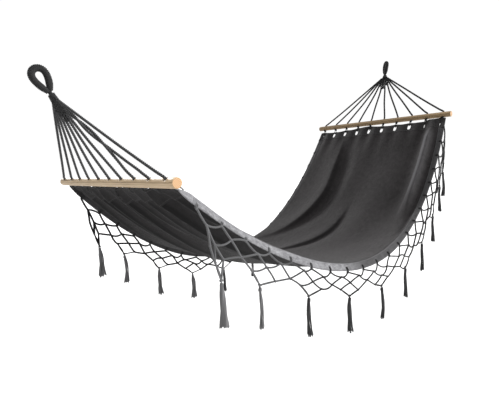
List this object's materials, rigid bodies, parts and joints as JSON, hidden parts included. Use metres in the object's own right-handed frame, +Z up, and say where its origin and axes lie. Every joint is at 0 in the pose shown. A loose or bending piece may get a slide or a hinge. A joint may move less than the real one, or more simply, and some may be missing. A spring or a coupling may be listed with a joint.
{
  "type": "spreader bar hammock",
  "caption": "Canvas hammock with round wooden spreader bars, corded ends gathered to rope eyes, and a knotted tasselled fringe along each side.",
  "frame": {"origin": "where the head eye rests on its hook, at the inside of the eye's tip", "axes": "+X from the head end to the foot end, +Y to the left, +Z up"},
  "size_m": [2.0167, 0.9815, 1.3012],
  "materials": {
    "canvas": "plain woven cotton canvas, matt",
    "hem": "folded and stitched canvas, matt",
    "wood": "smooth round softwood dowel, clear sealed",
    "served_rope": "rope closely wrapped with cotton cord",
    "woven_cord": "plaited cotton cord",
    "suspension_cord": "twisted cotton cord",
    "fringe_cord": "thin knotted cotton cord"
  },
  "bodies": {
    "hanging_eyes": {"head_eye": "served_rope", "foot_eye": "served_rope"},
    "bed": {"canvas_bed": "canvas", "left_side_hem": "hem", "right_side_hem": "hem", "head_end_hem": "hem", "foot_end_hem": "hem", "head_spreader_bar": "wood", "head_neck_whipping": "served_rope", "head_clew_weave": "woven_cord", "foot_spreader_bar": "wood", "foot_neck_whipping": "served_rope", "foot_clew_weave": "woven_cord", "head_cord_01": "suspension_cord", "head_cord_02": "suspension_cord", "head_cord_03": "suspension_cord", "head_cord_04": "suspension_cord", "head_cord_05": "suspension_cord", "head_cord_06": "suspension_cord", "head_cord_07": "suspension_cord", "head_cord_08": "suspension_cord", "head_cord_09": "suspension_cord", "head_cord_10": "suspension_cord", "foot_cord_01": "suspension_cord", "foot_cord_02": "suspension_cord", "foot_cord_03": "suspension_cord", "foot_cord_04": "suspension_cord", "foot_cord_05": "suspension_cord", "foot_cord_06": "suspension_cord", "foot_cord_07": "suspension_cord", "foot_cord_08": "suspension_cord", "foot_cord_09": "suspension_cord", "foot_cord_10": "suspension_cord", "fringe_net_left": "fringe_cord", "fringe_net_right": "fringe_cord"},
    "tassel_left_01": {"tassel_left_01": "fringe_cord"},
    "tassel_left_02": {"tassel_left_02": "fringe_cord"},
    "tassel_left_03": {"tassel_left_03": "fringe_cord"},
    "tassel_left_04": {"tassel_left_04": "fringe_cord"},
    "tassel_left_05": {"tassel_left_05": "fringe_cord"},
    "tassel_left_06": {"tassel_left_06": "fringe_cord"},
    "tassel_left_07": {"tassel_left_07": "fringe_cord"},
    "tassel_left_08": {"tassel_left_08": "fringe_cord"},
    "tassel_left_09": {"tassel_left_09": "fringe_cord"},
    "tassel_left_10": {"tassel_left_10": "fringe_cord"},
    "tassel_right_01": {"tassel_right_01": "fringe_cord"},
    "tassel_right_02": {"tassel_right_02": "fringe_cord"},
    "tassel_right_03": {"tassel_right_03": "fringe_cord"},
    "tassel_right_04": {"tassel_right_04": "fringe_cord"},
    "tassel_right_05": {"tassel_right_05": "fringe_cord"},
    "tassel_right_06": {"tassel_right_06": "fringe_cord"},
    "tassel_right_07": {"tassel_right_07": "fringe_cord"},
    "tassel_right_08": {"tassel_right_08": "fringe_cord"},
    "tassel_right_09": {"tassel_right_09": "fringe_cord"},
    "tassel_right_10": {"tassel_right_10": "fringe_cord"}
  },
  "joints": [
    {"name": "swing", "type": "hinge", "parent": "hanging_eyes", "child": "bed", "pos_m": [0.03297, 0, -0.06175], "axis": [0.991, 0, 0.134], "range_deg": [-30, 30]},
    {"name": "tassel_left_01_sway", "type": "hinge", "parent": "bed", "child": "tassel_left_01", "pos_m": [0.29055, 0.41517, -0.61268], "axis": [1, 0, 0], "range_deg": [-30, 30]},
    {"name": "tassel_left_02_sway", "type": "hinge", "parent": "bed", "child": "tassel_left_02", "pos_m": [0.40542, 0.43347, -0.67104], "axis": [1, 0, 0], "range_deg": [-30, 30]},
    {"name": "tassel_left_03_sway", "type": "hinge", "parent": "bed", "child": "tassel_left_03", "pos_m": [0.58522, 0.45438, -0.77949], "axis": [1, 0, 0], "range_deg": [-30, 30]},
    {"name": "tassel_left_04_sway", "type": "hinge", "parent": "bed", "child": "tassel_left_04", "pos_m": [0.78496, 0.46956, -0.85289], "axis": [1, 0, 0], "range_deg": [-30, 30]},
    {"name": "tassel_left_05_sway", "type": "hinge", "parent": "bed", "child": "tassel_left_05", "pos_m": [0.99912, 0.47578, -0.87614], "axis": [1, 0, 0], "range_deg": [-30, 30]},
    {"name": "tassel_left_06_sway", "type": "hinge", "parent": "bed", "child": "tassel_left_06", "pos_m": [1.21249, 0.47126, -0.84021], "axis": [1, 0, 0], "range_deg": [-30, 30]},
    {"name": "tassel_left_07_sway", "type": "hinge", "parent": "bed", "child": "tassel_left_07", "pos_m": [1.40776, 0.45778, -0.75035], "axis": [1, 0, 0], "range_deg": [-30, 30]},
    {"name": "tassel_left_08_sway", "type": "hinge", "parent": "bed", "child": "tassel_left_08", "pos_m": [1.57653, 0.43921, -0.62182], "axis": [1, 0, 0], "range_deg": [-30, 30]},
    {"name": "tassel_left_09_sway", "type": "hinge", "parent": "bed", "child": "tassel_left_09", "pos_m": [1.71991, 0.41867, -0.46947], "axis": [1, 0, 0], "range_deg": [-30, 30]},
    {"name": "tassel_left_10_sway", "type": "hinge", "parent": "bed", "child": "tassel_left_10", "pos_m": [1.79487, 0.40553, -0.38677], "axis": [1, 0, 0], "range_deg": [-30, 30]},
    {"name": "tassel_right_01_sway", "type": "hinge", "parent": "bed", "child": "tassel_right_01", "pos_m": [0.29826, -0.41599, -0.60409], "axis": [1, 0, 0], "range_deg": [-30, 30]},
    {"name": "tassel_right_02_sway", "type": "hinge", "parent": "bed", "child": "tassel_right_02", "pos_m": [0.42262, -0.43561, -0.64376], "axis": [1, 0, 0], "range_deg": [-30, 30]},
    {"name": "tassel_right_03_sway", "type": "hinge", "parent": "bed", "child": "tassel_right_03", "pos_m": [0.61452, -0.4574, -0.72354], "axis": [1, 0, 0], "range_deg": [-30, 30]},
    {"name": "tassel_right_04_sway", "type": "hinge", "parent": "bed", "child": "tassel_right_04", "pos_m": [0.82083, -0.47159, -0.77635], "axis": [1, 0, 0], "range_deg": [-30, 30]},
    {"name": "tassel_right_05_sway", "type": "hinge", "parent": "bed", "child": "tassel_right_05", "pos_m": [1.03456, -0.47569, -0.79218], "axis": [1, 0, 0], "range_deg": [-30, 30]},
    {"name": "tassel_right_06_sway", "type": "hinge", "parent": "bed", "child": "tassel_right_06", "pos_m": [1.24415, -0.46905, -0.76426], "axis": [1, 0, 0], "range_deg": [-30, 30]},
    {"name": "tassel_right_07_sway", "type": "hinge", "parent": "bed", "child": "tassel_right_07", "pos_m": [1.43629, -0.45388, -0.69312], "axis": [1, 0, 0], "range_deg": [-30, 30]},
    {"name": "tassel_right_08_sway", "type": "hinge", "parent": "bed", "child": "tassel_right_08", "pos_m": [1.60258, -0.43413, -0.58747], "axis": [1, 0, 0], "range_deg": [-30, 30]},
    {"name": "tassel_right_09_sway", "type": "hinge", "parent": "bed", "child": "tassel_right_09", "pos_m": [1.73015, -0.41598, -0.45457], "axis": [1, 0, 0], "range_deg": [-30, 30]},
    {"name": "tassel_right_10_sway", "type": "hinge", "parent": "bed", "child": "tassel_right_10", "pos_m": [1.79506, -0.40516, -0.38131], "axis": [1, 0, 0], "range_deg": [-30, 30]}
  ]
}
